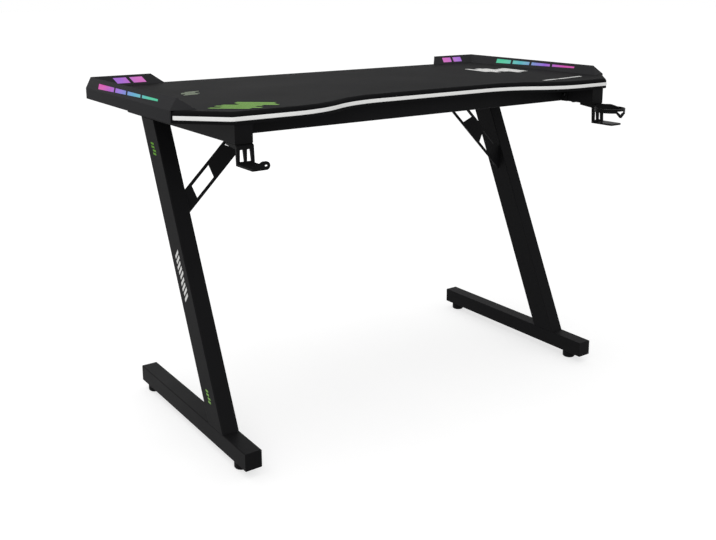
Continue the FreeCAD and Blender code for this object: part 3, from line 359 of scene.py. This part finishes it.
M6_SOCKET = {"key_radius": 2.3 * MM, "depth": 2.4 * MM}
M4_SOCKET = {"key_radius": 1.5 * MM, "depth": 1.3 * MM}
bolts = [socketed(name, **M6_SOCKET) for name in ("beam_bolts", "brace_bolts", "tabletop_screws")]
bolts += [socketed(name, **M4_SOCKET)
          for name in ("housing_screws", "accessory_screws", "control_screws")]
print("socketed", [(piece.name, len(piece.data.polygons)) for piece in bolts])

# %% [markdown]
# ## Powder-coated steel
# The tubes, beams and braces are mild steel with a baked black powder coat. The powder flows into a
# faint orange peel a millimetre or two across, which breaks up the highlights, and the sheen drifts
# slowly along the tube. The peel is drawn at 4 mm, because at its real size it would not show.

# %% Powder coat
PEEL = 4.0 * MM
PEEL_DEPTH = 0.25 * MM
DRIFT = 90.0 * MM


def powder_coat(name):
    material, tree, shader, place = new_finish(name)
    drift = add(tree, "TexNoise", {"Vector": place, "Scale": 1 / DRIFT, "Detail": 3.0})
    peel = add(tree, "TexNoise", {"Vector": place, "Scale": 1 / PEEL, "Detail": 1.0})
    base = add(tree, "MixRGB", {"Fac": drift.outputs["Fac"], "Color1": colour("#131314"),
                                "Color2": colour("#19191a")})
    sheen = add(tree, "MapRange", {"Value": drift.outputs["Fac"], "To Min": 0.44, "To Max": 0.6})
    bump = add(tree, "Bump", {"Height": peel.outputs["Fac"], "Strength": 0.25,
                              "Distance": PEEL_DEPTH})
    tree.links.new(base.outputs["Color"], shader.inputs["Base Color"])
    tree.links.new(sheen.outputs["Result"], shader.inputs["Roughness"])
    tree.links.new(bump.outputs["Normal"], shader.inputs["Normal"])
    shader.inputs["Specular IOR Level"].default_value = 0.035
    return material, tree, shader, place, base


steel = powder_coat("powder_coated_steel")[0]
give(steel, both("foot_bar", "top_bar") + ["front_beam", "rear_beam"])
coat(steel, braces)

# %% [markdown]
# ## Printed bars
# The film and the legs carry screen-printed decoration in green and white. A plain set of slanted
# bars with uneven lengths gives that colour and scale. It is drawn by numbers: along the row every
# step is one bar, the first part of the step is ink, and a noise value picked by the step's number
# moves the bar's ends.

# %% Bars
def bars(tree, place, centre, turn, pitch, count, length, share=0.6, slant=0.5, uneven=0.35):
    """Mask of a row of bars: X of the turned frame runs along the row, Y along each bar.

    The length of a bar is in pitches, share is the inked part of a step, slant leans the bars and
    uneven moves their ends.
    """
    frame_of = add(tree, "Mapping", {"Vector": place, "Location": centre, "Rotation": turn,
                                     "Scale": (pitch, pitch, pitch)}, vector_type="TEXTURE")
    parts = add(tree, "SeparateXYZ", {0: frame_of.outputs["Vector"]})
    lean = add(tree, "Math", {0: parts.outputs["Y"], 1: slant, 2: parts.outputs["X"]},
               operation="MULTIPLY_ADD")
    row = add(tree, "Math", {0: lean.outputs[0], 1: count / 2}, operation="ADD")
    step = add(tree, "Math", {0: row.outputs[0]}, operation="FLOOR")
    part = add(tree, "Math", {0: row.outputs[0]}, operation="FRACT")
    ink = add(tree, "Math", {0: part.outputs[0], 1: share}, operation="LESS_THAN")
    within = add(tree, "Math", {0: step.outputs[0], 1: (count - 1) / 2, 2: count / 2},
                 operation="COMPARE")
    pick = add(tree, "TexWhiteNoise", {"W": step.outputs[0]}, noise_dimensions="1D")
    shift = add(tree, "Math", {0: pick.outputs["Value"], 1: -0.5}, operation="ADD")
    along = add(tree, "Math", {0: shift.outputs[0], 1: -uneven * length, 2: parts.outputs["Y"]},
                operation="MULTIPLY_ADD")
    ends = add(tree, "Math", {0: along.outputs[0], 1: 0.0, 2: length / 2}, operation="COMPARE")
    mask = add(tree, "Math", {0: ink.outputs[0], 1: within.outputs[0]}, operation="MULTIPLY")
    printed = add(tree, "Math", {0: mask.outputs[0], 1: ends.outputs[0]}, operation="MULTIPLY")
    return printed.outputs[0]


def ink_over(tree, shader, under, face, inks):
    """Lays printed inks over a base colour, only where the face mask is on."""
    for mask, ink in inks:
        shown = add(tree, "Math", {0: mask, 1: face}, operation="MULTIPLY")
        mixed = add(tree, "MixRGB", {"Fac": shown.outputs[0], "Color1": under,
                                     "Color2": colour(ink)})
        under = mixed.outputs["Color"]
    tree.links.new(under, shader.inputs["Base Color"])


INK_GREEN = "#72b23e"
INK_SAGE = "#8cbd62"
INK_WHITE = "#ececea"
INK_FADED = "#8f9a86"
print("inks", INK_GREEN, INK_SAGE, INK_WHITE, INK_FADED)

# %% [markdown]
# ## Printed legs
# The same powder coat, with bars printed on the outer faces of the legs only. A row runs along the
# leg, so its frame is turned to the leg's slope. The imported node's box gives that slope, once the
# width of the leg's level cut end is taken off.

# %% Legs
leg_low, leg_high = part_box("left_leg")
LEG_CUT = 68.0 * MM
OUTER_SKIN = 0.3 * MM
LEG_ROWS = ((360 * MM, INK_WHITE, {"pitch": 12 * MM, "count": 9, "length": 1.7, "uneven": 0.2}),
            (620 * MM, INK_GREEN, {"pitch": 8 * MM, "count": 4, "length": 1.8, "slant": -0.5}),
            (120 * MM, INK_SAGE, {"pitch": 8 * MM, "count": 4, "length": 1.3, "slant": -0.5}))
run = Vector((0, leg_high.y - leg_low.y - LEG_CUT, leg_high.z - leg_low.z)).normalized()
leg_axes = Matrix((run, (0, run.z, -run.y), (-1, 0, 0))).transposed()
leg_turn = tuple(leg_axes.to_euler())


def on_leg(height):
    """Middle of the leg at a height."""
    share = (height - leg_low.z) / (leg_high.z - leg_low.z)
    return (0, leg_low.y + LEG_CUT / 2 + share * (leg_high.y - leg_low.y - LEG_CUT), height)


printed_steel, tree, shader, place, base = powder_coat("printed_powder_coat")
split = add(tree, "SeparateXYZ", {0: place})
reach = add(tree, "Math", {0: split.outputs["X"]}, operation="ABSOLUTE")
face = add(tree, "Math", {0: reach.outputs[0], 1: -leg_low.x - OUTER_SKIN},
           operation="GREATER_THAN")
inks = [(bars(tree, place, on_leg(height), leg_turn, **row), ink) for height, ink, row in LEG_ROWS]
ink_over(tree, shader, base.outputs["Color"], face.outputs[0], inks)
give(printed_steel, both("leg"))

# %% [markdown]
# ## Film-covered board
# The board is fibreboard wrapped in a matte black PVC film with a fine embossed grain. The film
# takes the light softly and shows faint cloudy patches where it was pressed on. The grain is about
# 1 mm on such films and is drawn at 5 mm, so that it shows.

# %% Board film
GRAIN = 5.0 * MM
GRAIN_DEPTH = 0.2 * MM
CLOUD = 160.0 * MM
BOARD_ROWS = (((-445 * MM, -178 * MM, 0), 25, INK_SAGE,
               {"pitch": 16 * MM, "count": 7, "length": 4.4}),
              ((-452 * MM, 67 * MM, 0), 70, INK_FADED,
               {"pitch": 12 * MM, "count": 5, "length": 2.6}),
              ((445 * MM, 62 * MM, 0), -30, INK_WHITE,
               {"pitch": 18 * MM, "count": 7, "length": 4.6, "share": 0.8}),
              ((432 * MM, -185 * MM, 0), 6, INK_WHITE,
               {"pitch": 52 * MM, "count": 3, "length": 0.16, "share": 0.9}))
film, tree, shader, place = new_finish("embossed_pvc_film")
grain = add(tree, "TexVoronoi", {"Vector": place, "Scale": 1 / GRAIN}, feature="SMOOTH_F1")
cloud = add(tree, "TexNoise", {"Vector": place, "Scale": 1 / CLOUD, "Detail": 4.0})
base = add(tree, "MixRGB", {"Fac": cloud.outputs["Fac"], "Color1": colour("#0f0f10"),
                            "Color2": colour("#161617")})
matte = add(tree, "MapRange", {"Value": cloud.outputs["Fac"], "To Min": 0.62, "To Max": 0.74})
bump = add(tree, "Bump", {"Height": grain.outputs["Distance"], "Strength": 0.2,
                          "Distance": GRAIN_DEPTH})
tree.links.new(matte.outputs["Result"], shader.inputs["Roughness"])
tree.links.new(bump.outputs["Normal"], shader.inputs["Normal"])
shader.inputs["Specular IOR Level"].default_value = 0.02
split = add(tree, "SeparateXYZ", {0: place})
face = add(tree, "Math", {0: split.outputs["Z"], 1: board_top - OUTER_SKIN},
           operation="GREATER_THAN")
inks = [(bars(tree, place, centre, (0, 0, math.radians(degrees)), **row), ink)
        for centre, degrees, ink, row in BOARD_ROWS]
ink_over(tree, shader, base.outputs["Color"], face.outputs[0], inks)
coat(film, [board])

# %% [markdown]
# ## White strip
# A soft PVC profile, extruded and pushed into a groove round the front edge. Its front is rounded
# where the profile leaves the die, so its square edges are softened, and the gentle waves along it
# are left alone. Extruded PVC is almost evenly white, with a satin skin whose sheen drifts a little.

# %% White strip
STRIP_ROUND = 2.2 * MM
SQUARE_EDGE = 60.0
SHEEN_PATCH = 60.0 * MM
edge_strip = softened("edge_strip", STRIP_ROUND, turn=SQUARE_EDGE, steps=4)
strip, tree, shader, place = new_finish("extruded_white_pvc")
drift = add(tree, "TexNoise", {"Vector": place, "Scale": 1 / SHEEN_PATCH, "Detail": 2.0})
base = add(tree, "MixRGB", {"Fac": drift.outputs["Fac"], "Color1": colour("#efefed"),
                            "Color2": colour("#f8f8f7")})
tree.links.new(base.outputs["Color"], shader.inputs["Base Color"])
satin = add(tree, "MapRange", {"Value": drift.outputs["Fac"], "To Min": 0.32, "To Max": 0.45})
tree.links.new(satin.outputs["Result"], shader.inputs["Roughness"])
coat(strip, [edge_strip])

# %% [markdown]
# ## Moulded plastics
# The housings, brackets, caps and the control box are injection-moulded ABS or polypropylene. The
# mould is spark-eroded, which leaves an even, fine texture that scatters highlights. It is drawn at
# 3 mm on the large housings so that it shows.

# %% Black plastics
FLOW_PATCH = 70.0 * MM


def moulded(name, dark, light, low, high, texture, depth, specular=0.04):
    """Plastic between two colours and two roughnesses, with a texture of a given width and depth."""
    material, tree, shader, place = new_finish(name)
    fine = add(tree, "TexNoise", {"Vector": place, "Scale": 1 / texture, "Detail": 2.0})
    slow = add(tree, "TexNoise", {"Vector": place, "Scale": 1 / FLOW_PATCH, "Detail": 2.0})
    base = add(tree, "MixRGB", {"Fac": slow.outputs["Fac"], "Color1": colour(dark),
                                "Color2": colour(light)})
    rough = add(tree, "MapRange", {"Value": slow.outputs["Fac"], "To Min": low, "To Max": high})
    bump = add(tree, "Bump", {"Height": fine.outputs["Fac"], "Strength": 0.3, "Distance": depth})
    tree.links.new(base.outputs["Color"], shader.inputs["Base Color"])
    tree.links.new(rough.outputs["Result"], shader.inputs["Roughness"])
    tree.links.new(bump.outputs["Normal"], shader.inputs["Normal"])
    shader.inputs["Specular IOR Level"].default_value = specular
    return material


housing_abs = moulded("spark_textured_abs", "#28282a", "#303031", 0.46, 0.58, 3 * MM, 0.2 * MM,
                      specular=0.012)
bracket_abs = moulded("satin_black_abs", "#0f0f10", "#161617", 0.36, 0.48, 2.5 * MM, 0.1 * MM,
                      specular=0.035)
cap_plastic = moulded("black_polypropylene", "#0d0d0e", "#141415", 0.42, 0.54, 2.5 * MM, 0.12 * MM)
pad_plastic = moulded("black_polyethylene", "#111112", "#181819", 0.5, 0.62, 2 * MM, 0.15 * MM)
lead_pvc = moulded("black_soft_pvc", "#131314", "#1b1b1c", 0.45, 0.55, 2 * MM, 0.05 * MM)
button_abs = moulded("grey_abs", "#5c5e60", "#66686a", 0.38, 0.46, 2 * MM, 0.05 * MM,
                     specular=0.4)
coat(housing_abs, housings + [box_shell])
coat(bracket_abs, brackets)
coat(cap_plastic, caps)
coat(pad_plastic, pads)
give(cap_plastic, ["lead_clips", "power_inlet"])
give(lead_pvc, both("led_lead"))
give(button_abs, ["mode_button"])

# %% [markdown]
# ## Lit windows
# Each row of windows is one milky diffuser with light-emitting diodes behind it. The light runs
# through the colours along the row, about one to a window, and is a little uneven, because a diode
# is brighter than the gap beside it. The node's own box gives the row's ends.

# %% Lit windows
DIODE_PATCH = 25.0 * MM
DIODE_GAIN = 0.06
BRIGHTNESS = 0.88
MILK = "#141414"
MILK_SHARE = 0.95
PINK, PURPLE, BLUE, GREEN, CYAN = "#d240ac", "#8c5cd6", "#4aa4cc", "#42c49a", "#5cb0c4"
VIOLET, ORCHID = "#a868d4", "#d46cc4"


def lit_windows(node_name, axis, colours):
    """Lights a row of windows with colours in order along an axis."""
    material, tree, shader, place = new_finish("lit_diffuser_" + node_name)
    low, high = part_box(node_name)
    way = "XYZ".index(axis)
    split = add(tree, "SeparateXYZ", {0: place})
    share = add(tree, "MapRange", {"Value": split.outputs[axis], "From Min": low[way],
                                   "From Max": high[way]})
    ramp = add(tree, "ValToRGB", {"Fac": share.outputs["Result"]})
    stops = ramp.color_ramp.elements
    for index, hex_value in enumerate(colours):
        spot = (index + 0.5) / len(colours)
        stop = stops[index] if index < 2 else stops.new(spot)
        stop.position = spot
        stop.color = colour(hex_value)
    patch = add(tree, "TexNoise", {"Vector": place, "Scale": 1 / DIODE_PATCH})
    glow = add(tree, "MapRange", {"Value": patch.outputs["Fac"], "From Min": 0.35, "From Max": 0.65,
                                  "To Max": DIODE_GAIN})
    pale = add(tree, "MixRGB", {"Fac": glow.outputs["Result"], "Color1": ramp.outputs["Color"],
                                "Color2": (1, 1, 1, 1)})
    tree.links.new(pale.outputs["Color"], shader.inputs["Emission Color"])
    milky = add(tree, "MixRGB", {"Fac": MILK_SHARE, "Color1": ramp.outputs["Color"],
                                 "Color2": colour(MILK)})
    tree.links.new(milky.outputs["Color"], shader.inputs["Base Color"])
    shader.inputs["Emission Strength"].default_value = BRIGHTNESS
    shader.inputs["Roughness"].default_value = 0.35
    shader.inputs["Specular IOR Level"].default_value = 0.05
    give(material, [node_name])


for side in SIDES:
    lit_windows(side + "_outer_diffuser", "Y", (GREEN, BLUE, PURPLE, PINK))
    lit_windows(side + "_inner_diffuser", "Y", (PINK, PURPLE, CYAN, GREEN))
lit_windows("left_rear_diffuser", "X", (VIOLET, ORCHID))
lit_windows("right_rear_diffuser", "X", (ORCHID, VIOLET))

# %% [markdown]
# ## Small metal parts
# Bolts are blackened steel, nuts and levelling studs are zinc-plated, inserts are brass. They are
# true metals, so their colour is in the reflection, and a noise in the roughness keeps them from
# looking like chrome.

# %% Metals
PLATING_PATCH = 3.0 * MM


def metal(name, dark, light, low, high):
    """Bare or plated metal between two colours and two roughnesses."""
    material, tree, shader, place = new_finish(name)
    drift = add(tree, "TexNoise", {"Vector": place, "Scale": 1 / PLATING_PATCH, "Detail": 3.0})
    base = add(tree, "MixRGB", {"Fac": drift.outputs["Fac"], "Color1": colour(dark),
                                "Color2": colour(light)})
    rough = add(tree, "MapRange", {"Value": drift.outputs["Fac"], "To Min": low, "To Max": high})
    tree.links.new(base.outputs["Color"], shader.inputs["Base Color"])
    tree.links.new(rough.outputs["Result"], shader.inputs["Roughness"])
    shader.inputs["Metallic"].default_value = 1.0
    return material


coat(metal("blackened_steel", "#1c1c1d", "#2a2a2b", 0.35, 0.5), bolts)
give(metal("zinc_plated_steel", "#a9adb0", "#c3c6c8", 0.25, 0.4),
     ["beam_nuts", "brace_nuts"] + both("front_foot_stud", "rear_foot_stud"))
give(metal("turned_brass", "#b8923f", "#cfae62", 0.25, 0.4),
     ["tabletop_inserts", "levelling_inserts"])

# %% [markdown]
# ## Electric parts
# The circuit board in the control box is green solder mask on glass fibre, and the light strips are
# white solder mask. The copper under a mask shows as fields with lines between them, which a brick
# pattern gives. The diodes are covered with a yellow phosphor.

# %% Circuit board and light strip
def solder_mask(name, dark, light, pattern):
    """Lacquer over copper fields of a given width."""
    material, tree, shader, place = new_finish(name)
    lines = add(tree, "TexBrick", {"Vector": place, "Scale": 1 / pattern, "Color1": colour(dark),
                                   "Color2": colour(light), "Mortar": colour(light),
                                   "Mortar Size": 0.06})
    tree.links.new(lines.outputs["Color"], shader.inputs["Base Color"])
    shader.inputs["Roughness"].default_value = 0.35
    return material


give(solder_mask("green_solder_mask", "#1f5a33", "#2f7445", 6 * MM), ["control_board"])
give(solder_mask("white_solder_mask", "#e6e6e2", "#d2d2cc", 16 * MM), both("led_strip"))
give(moulded("yellow_phosphor", "#d9c25a", "#e6d47e", 0.25, 0.35, 1 * MM, 0.02 * MM), both("leds"))
